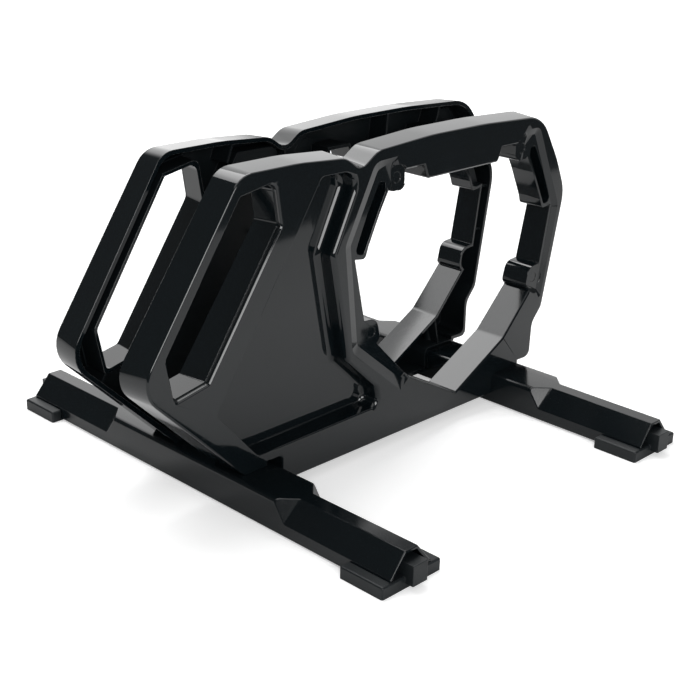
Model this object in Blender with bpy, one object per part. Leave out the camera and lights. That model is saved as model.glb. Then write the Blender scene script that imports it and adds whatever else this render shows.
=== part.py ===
"""Floor stand for one bicycle wheel: two moulded side frames on two cross bars with rubber feet.

Metres, +Z up. The wheel rolls in along X, with the low sloping end at -X, and the bars lie along Y.
The origin is on the floor, below the middle of the stand.
"""
import math

import bpy
import bmesh
from mathutils import Vector

# General fits
clearance = 0.0003            # between two pieces that touch
overshoot = 0.004             # how far a cutter runs past the face that it opens
arc_step = math.radians(30)   # largest turn between two points of a rounded corner
arc_error = 0.00012           # how far a chord may lie inside its arc
corner_share = 0.48           # largest part of an edge that one rounded corner takes
smooth_angle = math.radians(35)

# Layout
frame_spread = 0.1102         # between the outer faces of the two side frames
tyre_gap_top = 0.0610         # between the two side frames' inner edges, at the stand's top
tyre_gap_floor = 0.0450       # the same, narrowed down to floor level
frame_height = 0.2595         # top of the side frames' outer faces over the floor
front_bar_x = -0.1367         # middle of the front bar
bar_spacing = 0.3047          # from the front bar's middle to the rear bar's

# Cross bars
bar_length = 0.4270
bar_width = 0.0412
bar_height = 0.0282           # of the platform and the ridge over the floor
bar_underside = 0.0014        # of the bar's lower edge over the floor
bar_wall = 0.0025
shoulder_radius = 0.0040      # along the platform's long edges
platform_length = 0.1996      # between the platform's outer corners
nose_length = 0.0107          # from there to the tip of the platform
ridge_width = 0.0124          # of the flat on top of each end
band_height = 0.0112          # where the end's slopes turn down into its sides
facet_setback = 0.0024        # of a facet's lowest corner from the platform's tip
bar_rib = 0.0020
bar_rib_pitch = 0.0290
bar_rib_count = 11
bar_rib_underside = 0.0070
driver_room = 0.0015          # between a screw's head and the ribs round it

# End feet
foot_width = 0.0598
foot_length = 0.0410
foot_overhang = 0.0015        # past the end of the bar
foot_height = 0.0097
foot_rounding = 0.0010
plug_width = 0.0148
plug_reach = 0.0088           # past the end of the bar
plug_setback = 0.0030         # of its inner end from the foot's
plug_underside = 0.0043
plug_height = 0.0204

# Screws
screw_diameter = 0.0050
screw_length = 0.0160         # under the head
head_diameter = 0.0095
head_height = 0.0030
tip_chamfer = 0.0010
socket_width = 0.0030         # across the flats of the hexagon socket
socket_depth = 0.0018
boss_wall = 0.0022
boss_height = 0.0170

# Side frame, general
frame_wall = 0.0027
frame_draft = 0.0015          # how far the outline grows from the outer face to the inner edge
hollow_draft = 0.0008         # the same for the hollow inside
frame_underside = 0.0095      # of the lower edge between the bars, over the floor
face_rounding = 0.0018        # round the outer face
opening_rounding = 0.0012     # round the openings' outer edges
frame_rib = 0.0020
rib_setback = 0.0030          # of the ribs behind the frame's inner edge

# Side frame, outline: corners (x, z, radius), each list from one side of the seats round to the other
seat_front = 0.0104           # the front seat, from the front bar's middle
seat_back = 0.0121
seat_sink = 0.0015            # how far the outline reaches into a bar, to be cut to the bar's form
notch_height = 0.0034         # of the clear notch over the front bar's shoulder
notch_length = 0.0150
rear_seat_length = 0.0169     # the rear seat, behind the rear bar's middle
heel_height = 0.0030
leg_corners = [(0.0343, 0.0312, 0.0075), (0.0352, 0.0639, 0.0130), (0.0472, 0.0774, 0.0110),
               (0.0687, 0.1838, 0.0320)]
loop_crown_corners = [(0.0541, -0.0449, 0.1000), (0.0278, -0.0036, 0.0340), (-0.0534, 0.0, 0.3000),
                      (-0.1179, 0.0, 0.3000)]
hump_corners = [(0.1250, -0.0039, 0.0200), (0.1078, -0.0159, 0.0097), (0.0915, -0.0044, 0.0200),
                (0.0427, -0.0009, 0.1500), (-0.0134, -0.0009, 0.0210)]
nose_corner = (-0.1055, 0.1208, 0.0240)

# Handle window: corners from the front bar's middle, the low ones from the floor, the others
# from the stand's top
window_low_corners = [(-0.0815, 0.1398, 0.0065), (-0.0750, 0.1056, 0.0043), (-0.0443, 0.1118, 0.0043)]
window_high_corners = [(0.0255, -0.0441, 0.0065), (0.0200, -0.0111, 0.0075), (-0.0132, -0.0169, 0.0026)]
window_step_depth = 0.0043    # of the step round the inside of the window
window_step = 0.0010
window_slant = 0.0040         # how far the rear wall leans forward across the frame's depth

# Recessed panel
panel_depth = 0.0150
panel_fillet = 0.0020
panel_front_low = [(-0.0379, 0.0845, 0.0020), (0.0025, 0.0400, 0.0040)]
panel_back_low = [(-0.1702, 0.0419, 0.0090), (-0.1738, 0.0593, 0.0090), (-0.2087, 0.0914, 0.0100),
                  (-0.2269, 0.1817, 0.0100)]
panel_back_high = [(-0.1968, -0.0153, 0.0120)]
panel_front_high = [(0.0653, -0.0150, 0.0050)]

# Loop: corners (distance from the loop's leaning middle line, z, radius), from its bottom up one side
loop_bottom_x = -0.0706       # from the rear bar's middle
loop_bottom_z = 0.0254
loop_lean = 0.0270            # of the middle line, forward per metre of height
loop_low_corners = [(0.0637, 0.0596, 0.0108), (0.0998, 0.0968, 0.0), (0.0956, 0.1011, 0.0086),
                    (0.0997, 0.1183, 0.0108), (0.1143, 0.1195, 0.0)]
loop_high_corners = [(0.1253, -0.0869, 0.0), (0.1138, -0.0886, 0.0040), (0.1104, -0.0789, 0.0110),
                     (0.0974, -0.0531, 0.0600), (0.0882, -0.0376, 0.0), (0.0860, -0.0389, 0.0043),
                     (0.0704, -0.0398, 0.0086), (0.0704, -0.0234, 0.0)]
plate_half_top = 0.0491       # the bare plate that hangs into the loop
plate_half_bottom = 0.0450
plate_drop = 0.0350           # of its lower edge from the stand's top
plate_radius = 0.0030

# Pockets beside the loop, in the same way
pocket_depth = 0.0185
pocket_corners = [(0.0925, -0.0305, 0.0010), (0.0915, -0.0372, 0.0), (0.1000, -0.0531, 0.0),
                  (0.1130, -0.0789, 0.0), (0.1160, -0.0848, 0.0030), (0.1252, -0.0825, 0.0040),
                  (0.1218, -0.0740, 0.0), (0.1121, -0.0530, 0.0), (0.0985, -0.0289, 0.0030)]

# Sunk ledge round the loop: outer corners from the rear bar's middle
ledge_depth = 0.0025
ledge_front_slope = 0.0080    # width of the sloped step on the wheel's front side
ledge_back_slope = 0.0060
ledge_front_high = [(-0.1567, -0.0112, 0.0), (-0.1824, -0.0122, 0.0110), (-0.2134, -0.0729, 0.0110)]
ledge_front_low = [(-0.2026, 0.0967, 0.0130), (-0.1437, 0.0484, 0.0), (-0.1270, 0.0640, 0.0)]
ledge_front_inner = (-0.1530, -0.0560, 0.0)
ledge_back_low = [(0.0150, 0.1010, 0.0), (0.0437, 0.0860, 0.0030)]
ledge_back_high = [(0.0599, -0.0875, 0.0130), (0.0244, -0.0127, 0.0080), (0.0057, -0.0131, 0.0)]
ledge_back_inner = (-0.0100, -0.0560, 0.0)

# Lugs in the loop: a sunk face with a shallow round mark, (distance from the middle line, z)
lug_seat_diameter = 0.0215
lug_seat_depth = 0.0022
lug_mark_diameter = 0.0090
lug_mark_depth = 0.0007       # below the sunk face
high_lug = (0.0795, -0.0287)
low_lug = (0.1062, 0.1080)

# Ribs inside the frame: from one point to the other, in each zone's own measure
front_ribs_low = [((-0.0700, 0.1080), (-0.0800, 0.0925)), ((-0.0420, 0.1130), (-0.0380, 0.0830)),
                  ((0.0560, 0.0440), (0.0560, 0.0080)), ((0.1000, 0.0440), (0.1000, 0.0080))]
front_ribs_high = [((0.0500, -0.0180), (0.0590, 0.0040)), ((0.1100, -0.0280), (0.1100, -0.0120))]
rear_ribs_low = [((-0.1350, 0.0620), (-0.1430, 0.0080)), ((-0.0695, 0.0300), (-0.0695, 0.0080)),
                 ((-0.0080, 0.0640), (0.0000, 0.0260)), ((0.0390, 0.1340), (0.0640, 0.1300)),
                 ((-0.2120, 0.0900), (-0.1860, 0.1060))]
rear_ribs_high = [((-0.0770, -0.0270), (-0.0730, 0.0040)), ((-0.0145, -0.0270), (-0.0036, 0.0040)),
                  ((-0.2290, -0.0790), (-0.1950, -0.0880)), ((0.0440, -0.0860), (0.0740, -0.0880))]

rear_bar_x = front_bar_x + bar_spacing
seat_height = bar_height + clearance
frame_face = frame_spread / 2
frame_depth = frame_face - tyre_gap_floor / 2


def half_gap(z):
    """From the wheel's plane to a side frame's inner edge, at height z."""
    return (tyre_gap_floor + (tyre_gap_top - tyre_gap_floor) * z / frame_height) / 2


screw_y = (frame_face + half_gap(seat_height)) / 2


def arc_steps(corners):
    """How many chords round each corner of an outline: none where it is sharp or hardly turns."""
    count = len(corners)
    steps = []
    for i in range(count):
        before = Vector(corners[i][:2]) - Vector(corners[i - 1][:2])
        after = Vector(corners[(i + 1) % count][:2]) - Vector(corners[i][:2])
        turn = abs(math.atan2(before.cross(after), before.dot(after)))
        radius = corners[i][2]
        if radius == 0 or turn < math.radians(1):
            steps.append(0)
            continue
        finest = 2 * math.acos(1 - min(arc_error / radius, 1))
        steps.append(math.ceil(turn / min(arc_step, finest)))
    return steps


def rounded(corners, inset=0.0, like=None):
    """Points of a closed counter-clockwise outline, drawn in by inset, its corners rounded by arcs.

    Another outline's points pair with them where it is given as like.
    """
    count = len(corners)
    steps = arc_steps(like or corners)
    places = [Vector(corner[:2]) for corner in corners]
    ways = [(places[(i + 1) % count] - places[i]).normalized() for i in range(count)]
    moved = []
    for i, place in enumerate(places):
        before, after = ways[i - 1], ways[i]
        inward = Vector((-before.y, before.x)) + Vector((-after.y, after.x))
        moved.append(place + inward * (inset / (1 + before.dot(after))))
    points = []
    for i, place in enumerate(moved):
        before, after = ways[i - 1], ways[i]
        turn = math.atan2(before.cross(after), before.dot(after))
        if steps[i] == 0:
            points.append(place)
            continue
        half = math.tan(abs(turn) / 2)
        room = min((place - moved[i - 1]).length, (moved[(i + 1) % count] - place).length)
        wanted = max(corners[i][2] - math.copysign(inset, turn), clearance)
        radius = min(wanted, corner_share * room / half)
        start = place - before * (radius * half)
        centre = start + Vector((-before.y, before.x)) * math.copysign(radius, turn)
        for step in range(steps[i] + 1):
            angle = turn * step / steps[i]
            arm = start - centre
            swung = Vector((arm.x * math.cos(angle) - arm.y * math.sin(angle),
                            arm.x * math.sin(angle) + arm.y * math.cos(angle)))
            points.append(centre + swung)
    return points


def placed(corners, x, z):
    """The same corners, measured from the point (x, z)."""
    return [(x + corner[0], z + corner[1], *corner[2:]) for corner in corners]


def from_loop(corners, side, height=0.0):
    """Corners given as distances from the loop's leaning middle line, on its front (-1) or back (1)."""
    moved = []
    for distance, z, *radius in corners:
        middle = rear_bar_x + loop_bottom_x - loop_lean * (height + z - loop_bottom_z)
        moved.append((middle + side * distance, height + z, *radius))
    return moved


def new_object(name, bm, cutter=False):
    """An object made from a bmesh. A cutter is only a tool, shown as wires."""
    bmesh.ops.recalc_face_normals(bm, faces=bm.faces)
    mesh = bpy.data.meshes.new(name)
    bm.to_mesh(mesh)
    bm.free()
    obj = bpy.data.objects.new(name, mesh)
    bpy.context.collection.objects.link(obj)
    if cutter:
        obj.hide_render = True
        obj.display_type = "WIRE"
    return obj


def add_loft(bm, rings):
    """A closed solid through rings of points (x, y, z) with one point count, capped at both ends."""
    rows = [[bm.verts.new(point) for point in ring] for ring in rings]
    for low, high in zip(rows, rows[1:]):
        for i in range(len(low)):
            j = (i + 1) % len(low)
            bm.faces.new((low[i], low[j], high[j], high[i]))
    bm.faces.new(rows[0])
    bm.faces.new(list(reversed(rows[-1])))


def across(points, depth):
    """An outline's points at a depth behind the right frame's outer face."""
    return [(point.x, depth - frame_face, point.y) for point in points]


def inner_edge(points, setback=0.0):
    """An outline's points on the right frame's leaning inner side, or set back from it."""
    return [(point.x, -half_gap(point.y) - setback, point.y) for point in points]


def plate(name, outline, depth_from, depth_to, inset=0.0):
    """A cutter with straight sides across the frame."""
    bm = bmesh.new()
    ring = rounded(outline, inset)
    add_loft(bm, [across(ring, depth_from), across(ring, depth_to)])
    return new_object(name, bm, cutter=True)


def cut(target, cutter):
    """Takes the cutter's shape out of the target."""
    boolean = target.modifiers.new(cutter.name, "BOOLEAN")
    boolean.operation = "DIFFERENCE"
    boolean.solver = "EXACT"
    boolean.object = cutter


def join(target, other):
    """Adds the other shape to the target as one body."""
    boolean = target.modifiers.new(other.name, "BOOLEAN")
    boolean.operation = "UNION"
    boolean.solver = "EXACT"
    boolean.object = other


def material(name, colour, roughness, metallic=0.0):
    """A Principled material."""
    made = bpy.data.materials.new(name)
    made.use_nodes = True
    shader = made.node_tree.nodes["Principled BSDF"]
    shader.inputs["Base Color"].default_value = (*colour, 1.0)
    shader.inputs["Roughness"].default_value = roughness
    shader.inputs["Metallic"].default_value = metallic
    made.diffuse_color = (*colour, 1.0)
    return made


def finish(obj, surface):
    """Gives an object its material and smooth shading between sharp edges."""
    obj.data.materials.append(surface)
    obj.data.shade_smooth()
    obj.data.set_sharp_from_angle(angle=smooth_angle)


def side_outline(sink=0.0):
    """The side frame's outline. It stands on both bars, or sinks into them, and hooks down between."""
    hook = rear_bar_x - bar_width / 2 - clearance + sink
    seat = seat_height - sink
    seats = [
        (front_bar_x - seat_front, seat, 0.0010),
        (front_bar_x + seat_back, seat, 0.0),
        (front_bar_x + seat_back, seat_height + notch_height, 0.0012),
        (front_bar_x + seat_back + notch_length, seat_height + notch_height, 0.0030),
        (front_bar_x + seat_back + notch_length, frame_underside, 0.0020),
        (hook, frame_underside, 0.0020),
        (hook, seat, shoulder_radius + clearance),
        (rear_bar_x + rear_seat_length, seat, 0.0),
        (rear_bar_x + rear_seat_length, seat_height + heel_height, 0.0),
    ]
    leg = placed(leg_corners, rear_bar_x, 0.0)
    crown = placed(loop_crown_corners, rear_bar_x, frame_height)
    hump = placed(hump_corners, front_bar_x, frame_height)
    return seats + leg + crown + hump + placed([nose_corner], front_bar_x, 0.0)


def window_outline(slant=0.0):
    """The handle window. Its rear wall leans forward by slant."""
    low = placed(window_low_corners, front_bar_x, 0.0)
    high = placed(window_high_corners, front_bar_x, frame_height)
    rear = (low[-1], high[0], high[1])
    leaning = [(corner[0] - slant, *corner[1:]) for corner in rear]
    return low[:-1] + leaning + high[2:]


def panel_outline():
    """The recessed panel between the handle window and the loop."""
    return (placed(panel_front_low, front_bar_x, 0.0) + placed(panel_back_low, rear_bar_x, 0.0)
            + placed(panel_back_high, rear_bar_x, frame_height)
            + placed(panel_front_high, front_bar_x, frame_height))


def loop_outline():
    """The round loop's opening, with its lugs, its pockets' thin walls and the hanging plate."""
    back = from_loop(loop_low_corners, 1) + from_loop(loop_high_corners, 1, frame_height)
    front = from_loop(loop_low_corners, -1) + from_loop(loop_high_corners, -1, frame_height)
    top = -loop_high_corners[-1][1]
    plate_half = [(plate_half_top, -top, 0.0), (plate_half_bottom, -plate_drop, plate_radius)]
    plate_back = from_loop(plate_half, 1, frame_height)
    plate_front = from_loop(plate_half, -1, frame_height)
    bottom = from_loop([(0.0, loop_bottom_z, 0.0020)], 1)
    return bottom + back + plate_back + plate_front[::-1] + front[::-1]


def pocket_outline(side):
    """The deep pocket beside the loop, on its front (-1) or back (1)."""
    corners = from_loop(pocket_corners, side, frame_height)
    return corners if side > 0 else corners[::-1]


def ledge_outlines():
    """The two halves of the sunk ledge. They open into the loop."""
    front = (placed(ledge_front_high, rear_bar_x, frame_height) + placed(ledge_front_low, rear_bar_x, 0.0)
             + placed([ledge_front_inner], rear_bar_x, frame_height))
    back = (placed(ledge_back_low, rear_bar_x, 0.0) + placed(ledge_back_high, rear_bar_x, frame_height)
            + placed([ledge_back_inner], rear_bar_x, frame_height))
    return front, back


def rounded_body():
    """The side frame's outer form, its outer face rounded off all round."""
    outline = side_outline(seat_sink)
    bm = bmesh.new()
    rings = []
    for angle in (0, 30, 60, 90):
        turn = math.radians(angle)
        drawn_in = face_rounding * (1 - math.sin(turn))
        rings.append(across(rounded(outline, drawn_in), face_rounding * (1 - math.cos(turn))))
    rings.append(inner_edge(rounded(outline, -frame_draft)))
    add_loft(bm, rings)
    return new_object("side_frame_right", bm)


def frame_hollow():
    """The space inside the side frame, which runs out past its inner edge."""
    outline = side_outline()
    bm = bmesh.new()
    add_loft(bm, [across(rounded(outline, frame_wall), frame_wall),
                  inner_edge(rounded(outline, frame_wall - hollow_draft), -overshoot)])
    return new_object("frame_hollow", bm, cutter=True)


def through_cut(name, outline, far_outline=None, step_depth=opening_rounding, step=0.0):
    """A cutter right through the frame, wider at the outer face and narrower below a step."""
    bm = bmesh.new()
    mouth = rounded(outline, -opening_rounding)
    rings = [across(mouth, -overshoot), across(mouth, 0.0), across(rounded(outline), opening_rounding)]
    if step:
        rings += [across(rounded(outline), step_depth), across(rounded(outline, step), step_depth)]
    rings.append(across(rounded(far_outline or outline, step, like=outline), frame_depth + overshoot))
    add_loft(bm, rings)
    return new_object(name, bm, cutter=True)


def tube(name, outline, far_outline=None, step_depth=opening_rounding, step=0.0):
    """The material round an opening, which stays when the frame is hollowed."""
    bm = bmesh.new()
    near = rounded(outline, -frame_wall)
    bend = step_depth + frame_wall
    rings = [across(near, -overshoot), across(near, bend)]
    if step:
        rings.append(across(rounded(outline, step - frame_wall), bend))
    rings.append(across(rounded(far_outline or outline, step - frame_wall, like=outline),
                        frame_depth + 2 * overshoot))
    add_loft(bm, rings)
    return new_object(name, bm, cutter=True)


def sunk(name, outline, depth, step):
    """A cutter for a sunk face: its border slopes in by step."""
    bm = bmesh.new()
    edge = rounded(outline)
    floor = rounded(outline, step)
    add_loft(bm, [across(edge, -overshoot), across(edge, 0.0), across(floor, depth)])
    return new_object(name, bm, cutter=True)


def circle(x, y, radius, sides):
    """Points round a circle in its own plane."""
    angles = [2 * math.pi * step / sides for step in range(sides)]
    return [Vector((x + radius * math.cos(angle), y + radius * math.sin(angle))) for angle in angles]


def add_disc(bm, x, z, radius, depth_from, depth_to, sides):
    """A round bar across the frame, added to a bmesh."""
    ring = circle(x, z, radius, sides)
    add_loft(bm, [across(ring, depth_from), across(ring, depth_to)])


def add_rib(bm, start, end):
    """A straight web from the outer plate nearly to the frame's inner edge."""
    way = Vector(end) - Vector(start)
    side = Vector((-way.y, way.x)).normalized() * (frame_rib / 2)
    ring = [Vector(start) - side, Vector(end) - side, Vector(end) + side, Vector(start) + side]
    add_loft(bm, [across(ring, -overshoot), inner_edge(ring, rib_setback)])


def frame_ribs():
    """All the ribs inside the frame."""
    zones = ((front_ribs_low, front_bar_x, 0.0), (front_ribs_high, front_bar_x, frame_height),
             (rear_ribs_low, rear_bar_x, 0.0), (rear_ribs_high, rear_bar_x, frame_height))
    bm = bmesh.new()
    for ribs, x, z in zones:
        for start, end in ribs:
            add_rib(bm, *placed([start, end], x, z))
    return new_object("frame_ribs", bm, cutter=True)


def add_post(bm, x, y, radius, z_from, z_to, sides=16):
    """An upright round bar, added to a bmesh."""
    ring = circle(x, y, radius, sides)
    add_loft(bm, [[(*point, z_from) for point in ring], [(*point, z_to) for point in ring]])


def lug_places():
    """Middle points of the four lugs."""
    places = []
    for side in (-1, 1):
        places += from_loop([high_lug], side, frame_height) + from_loop([low_lug], side)
    return places


def make_side_frame(surface):
    """The near side frame: one shell of even wall, open on its inner side."""
    frame = rounded_body()
    window, window_far, loop = window_outline(), window_outline(window_slant), loop_outline()
    ledge_front, ledge_back = ledge_outlines()

    hollow = frame_hollow()
    cut(hollow, tube("window_wall", window, window_far, window_step_depth, window_step))
    cut(hollow, tube("loop_wall", loop))
    cut(hollow, plate("panel_back", panel_outline(), -overshoot, panel_depth + frame_wall, -frame_wall))
    for name, outline in (("ledge_front_back", ledge_front), ("ledge_back_back", ledge_back)):
        cut(hollow, plate(name, outline, -overshoot, ledge_depth + frame_wall, -frame_wall / 2))
    for name, side in (("pocket_front_back", -1), ("pocket_back_back", 1)):
        shell = plate(name, pocket_outline(side), -overshoot, pocket_depth + frame_wall, -frame_wall)
        cut(hollow, shell)
    cut(hollow, frame_ribs())

    bosses, screw_holes = bmesh.new(), bmesh.new()
    boss_radius = screw_diameter / 2 + clearance + boss_wall
    screw_top = seat_height - bar_wall + screw_length + frame_wall
    for x in (front_bar_x, rear_bar_x):
        add_post(bosses, x, -screw_y, boss_radius, 0.0, seat_height + boss_height)
        add_post(screw_holes, x, -screw_y, screw_diameter / 2 + clearance, 0.0, screw_top)
    cut(hollow, new_object("screw_bosses", bosses, cutter=True))

    lug_seats, lug_marks, lug_backs = bmesh.new(), bmesh.new(), bmesh.new()
    seat_radius, mark_bottom = lug_seat_diameter / 2, lug_seat_depth + lug_mark_depth
    for x, z in lug_places():
        add_disc(lug_seats, x, z, seat_radius, -overshoot, lug_seat_depth, 24)
        add_disc(lug_marks, x, z, lug_mark_diameter / 2, -overshoot, mark_bottom, 20)
        add_disc(lug_backs, x, z, seat_radius + frame_wall, -overshoot, mark_bottom + frame_wall, 24)
    cut(hollow, new_object("lug_backs", lug_backs, cutter=True))

    cut(frame, hollow)
    cut(frame, through_cut("window_cut", window, window_far, window_step_depth, window_step))
    cut(frame, through_cut("loop_cut", loop))
    cut(frame, sunk("panel_cut", panel_outline(), panel_depth, panel_fillet))
    cut(frame, sunk("ledge_front_cut", ledge_front, ledge_depth, ledge_front_slope))
    cut(frame, sunk("ledge_back_cut", ledge_back, ledge_depth, ledge_back_slope))
    for name, side in (("pocket_front_cut", -1), ("pocket_back_cut", 1)):
        cut(frame, plate(name, pocket_outline(side), -overshoot, pocket_depth))
    cut(frame, new_object("lug_seats", lug_seats, cutter=True))
    cut(frame, new_object("lug_marks", lug_marks, cutter=True))
    cut(frame, new_object("screw_holes", screw_holes, cutter=True))
    for name, x in (("front_seat", front_bar_x), ("rear_seat", rear_bar_x)):
        cut(frame, bar_block(name, x, -clearance, bar_length / 2, bar_underside, cutter=True))
    finish(frame, surface)
    return frame


def mirrored(source, name):
    """A mirror copy across the wheel's plane."""
    bpy.context.view_layer.update()
    evaluated = source.evaluated_get(bpy.context.evaluated_depsgraph_get())
    bm = bmesh.new()
    bm.from_mesh(evaluated.to_mesh())
    evaluated.to_mesh_clear()
    bmesh.ops.scale(bm, vec=(1, -1, 1), verts=bm.verts)
    copy = new_object(name, bm)
    finish(copy, source.data.materials[0])
    return copy


def facet_y(x, z, inset):
    """How far out the platform's end facet lies at (x, z), drawn in by inset."""
    flat = bar_width / 2 - shoulder_radius
    corner = Vector((flat, platform_length / 2, bar_height))
    tip = Vector((ridge_width / 2, platform_length / 2 + nose_length, bar_height))
    foot = Vector((bar_width / 2, platform_length / 2 + nose_length - facet_setback, band_height))
    normal = (tip - corner).cross(foot - corner).normalized()
    if normal.y < 0:
        normal.negate()
    level = normal.dot(corner) - inset
    return (level - normal.x * x - normal.z * z) / normal.y


def bar_block(name, middle_x, inset, half_length, underside, cutter=False):
    """The bar's solid form: a flat platform between two ends with a ridge, drawn in by inset."""
    half = bar_width / 2 - inset
    top = bar_height - inset
    slope = Vector((bar_width / 2 - ridge_width / 2, band_height - bar_height)).normalized()
    out = Vector((-slope.y, slope.x))
    level = out.dot(Vector((ridge_width / 2, bar_height))) - inset
    ridge = (level - out.y * top) / out.x
    band = (level - out.x * half) / out.y
    radius = max(shoulder_radius - inset, clearance)
    steps = math.ceil(math.pi / 2 / arc_step)
    arc = []
    for step in range(steps + 1):
        angle = math.pi / 2 * (1 - step / steps)
        arc.append((half - radius + radius * math.cos(angle), top - radius + radius * math.sin(angle)))
    bm = bmesh.new()

    def corner(x, y, z, side, end):
        return bm.verts.new((middle_x + side * x, end * y, z))

    shoulder, ridge_near, ridge_far, band_near, band_far, base = {}, {}, {}, {}, {}, {}
    for side in (-1, 1):
        for end in (-1, 1):
            key = (side, end)
            shoulder[key] = [corner(x, facet_y(x, z, inset), z, side, end) for x, z in arc]
            ridge_near[key] = corner(ridge, facet_y(ridge, top, inset), top, side, end)
            ridge_far[key] = corner(ridge, half_length, top, side, end)
            band_near[key] = corner(half, facet_y(half, band, inset), band, side, end)
            band_far[key] = corner(half, half_length, band, side, end)
            base[key] = corner(half, half_length, underside, side, end)
    for end in (-1, 1):
        left, right = (-1, end), (1, end)
        bm.faces.new((ridge_near[left], ridge_near[right], ridge_far[right], ridge_far[left]))
        bm.faces.new((base[left], base[right], band_far[right], ridge_far[right], ridge_far[left],
                      band_far[left]))
    for side in (-1, 1):
        front, back = (side, -1), (side, 1)
        for step in range(steps):
            bm.faces.new((shoulder[front][step], shoulder[back][step], shoulder[back][step + 1],
                          shoulder[front][step + 1]))
        bm.faces.new((base[front], base[back], band_far[back], band_near[back], shoulder[back][-1],
                      shoulder[front][-1], band_near[front], band_far[front]))
        for key in (front, back):
            bm.faces.new((*shoulder[key], band_near[key], ridge_near[key]))
            bm.faces.new((ridge_near[key], band_near[key], band_far[key], ridge_far[key]))
    bm.faces.new((shoulder[-1, -1][0], ridge_near[-1, -1], ridge_near[1, -1], shoulder[1, -1][0],
                  shoulder[1, 1][0], ridge_near[1, 1], ridge_near[-1, 1], shoulder[-1, 1][0]))
    bm.faces.new((base[-1, -1], base[-1, 1], base[1, 1], base[1, -1]))
    return new_object(name, bm, cutter)


def add_box(bm, low, high):
    """An upright box between two corners, added to a bmesh."""
    ring = [(low[0], low[1]), (high[0], low[1]), (high[0], high[1]), (low[0], high[1])]
    add_loft(bm, [[(*point, low[2]) for point in ring], [(*point, high[2]) for point in ring]])


def make_bar(name, x, surface):
    """A cross bar: a channel open from below and at both ends, with cross ribs and two screw holes."""
    bar = bar_block(name, x, 0.0, bar_length / 2, bar_underside)
    hollow = bar_block(name + "_hollow", x, bar_wall, bar_length / 2 + overshoot,
                       bar_underside - overshoot, cutter=True)
    ribs = bmesh.new()
    for index in range(bar_rib_count):
        y = (index - (bar_rib_count - 1) / 2) * bar_rib_pitch
        add_box(ribs, (x - bar_width, y - bar_rib / 2, bar_rib_underside),
                (x + bar_width, y + bar_rib / 2, bar_height + overshoot))
    web = new_object(name + "_ribs", ribs, cutter=True)
    wells = bmesh.new()
    holes = bmesh.new()
    for y in (-screw_y, screw_y):
        add_post(wells, x, y, head_diameter / 2 + driver_room, -overshoot, bar_height + 2 * overshoot)
        add_post(holes, x, y, screw_diameter / 2 + clearance, bar_height / 2, bar_height + overshoot)
    cut(web, new_object(name + "_wells", wells, cutter=True))
    cut(hollow, web)
    cut(bar, hollow)
    cut(bar, new_object(name + "_holes", holes, cutter=True))
    finish(bar, surface)


def make_foot(name, x, end, surface):
    """A rubber foot that grips the bar's two side walls, with a plug in the bar's open end."""
    outer = bar_length / 2 + foot_overhang
    inner = outer - foot_length
    slab = bmesh.new()
    add_box(slab, (x - foot_width / 2, inner, 0.0), (x + foot_width / 2, outer, foot_height))
    upper = [edge for edge in slab.edges if max(vert.co.z for vert in edge.verts) > 0]
    bmesh.ops.bevel(slab, geom=upper, offset=foot_rounding, segments=1, affect="EDGES")
    bmesh.ops.scale(slab, vec=(1, end, 1), verts=slab.verts)
    foot = new_object(name, slab)
    plug = bmesh.new()
    add_box(plug, (x - plug_width / 2, end * (inner + plug_setback), plug_underside),
            (x + plug_width / 2, end * (bar_length / 2 + plug_reach), plug_height))
    join(foot, new_object(name + "_plug", plug, cutter=True))
    grooves = bmesh.new()
    for side in (-1, 1):
        near = side * (bar_width / 2 - bar_wall - clearance)
        far = side * (bar_width / 2 + clearance)
        add_box(grooves, (x + near, end * (inner - overshoot), bar_underside - clearance),
                (x + far, end * (bar_length / 2 + clearance), foot_height + overshoot))
    cut(foot, new_object(name + "_grooves", grooves, cutter=True))
    finish(foot, surface)


def make_screw(name, x, y, surface):
    """A screw from below, its head against the inside of the bar's top."""
    seat = bar_height - bar_wall - clearance
    low = seat - head_height
    tip = seat + screw_length
    bm = bmesh.new()
    profile = [(head_diameter / 2, low), (head_diameter / 2, seat), (screw_diameter / 2, seat),
               (screw_diameter / 2, tip - tip_chamfer), (screw_diameter / 2 - tip_chamfer, tip)]
    add_loft(bm, [[(*point, z) for point in circle(x, y, radius, 20)] for radius, z in profile])
    screw = new_object(name, bm)
    socket = bmesh.new()
    add_post(socket, x, y, socket_width / math.sqrt(3), low - overshoot, low + socket_depth, 6)
    cut(screw, new_object(name + "_socket", socket, cutter=True))
    finish(screw, surface)


def main():
    for obj in list(bpy.data.objects):
        bpy.data.objects.remove(obj)
    plastic = material("black_plastic", (0.006, 0.0066, 0.0075), 0.2)
    rubber = material("grey_rubber", (0.035, 0.036, 0.038), 0.75)
    steel = material("zinc_steel", (0.60, 0.60, 0.58), 0.35, 1.0)
    right = make_side_frame(plastic)
    mirrored(right, "side_frame_left")
    for place, x in (("front", front_bar_x), ("rear", rear_bar_x)):
        make_bar("base_bar_" + place, x, plastic)
        for hand, side in (("right", -1), ("left", 1)):
            make_foot("end_foot_" + place + "_" + hand, x, side, rubber)
            make_screw("frame_screw_" + place + "_" + hand, x, side * screw_y, steel)


main()
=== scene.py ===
"""Dresses the bike wheel stand for its portrait: glossy black mouldings, grey rubber feet, zinc plated
screws, and a pale studio floor under soft light.

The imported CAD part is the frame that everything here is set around. Metres, +Z up.
"""

import math

import bmesh
import bpy
from bpy.props import FloatProperty, FloatVectorProperty, PointerProperty
from mathutils import Matrix, Vector


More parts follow.
